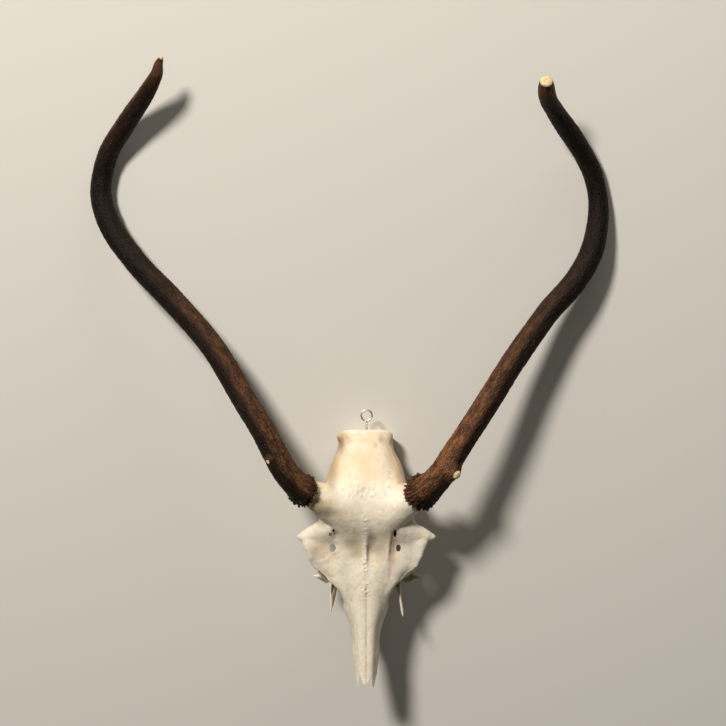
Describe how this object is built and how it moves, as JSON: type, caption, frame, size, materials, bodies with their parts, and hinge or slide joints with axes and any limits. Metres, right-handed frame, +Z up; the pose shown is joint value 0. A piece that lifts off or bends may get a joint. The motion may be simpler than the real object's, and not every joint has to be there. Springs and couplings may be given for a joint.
{
  "type": "pair of red deer antlers",
  "caption": "Long dark antlers with ragged burrs on a bleached deer skull that is sawn flat below, with a steel screw eye at the back to hang it by.",
  "frame": {"origin": "middle of the footprint's box, on the surface that it lies on", "axes": "+Z up, +Y from the nose towards the tips of the antlers, +X to the right as the face is seen with the antlers up"},
  "size_m": [0.5856, 0.735, 0.1289],
  "materials": {
    "bone": "matte",
    "antler": "satin",
    "steel": "polished"
  },
  "bodies": {
    "root": {"skull": "bone", "left_antler": "antler", "right_antler": "antler", "screw_eye": "steel"}
  },
  "joints": []
}
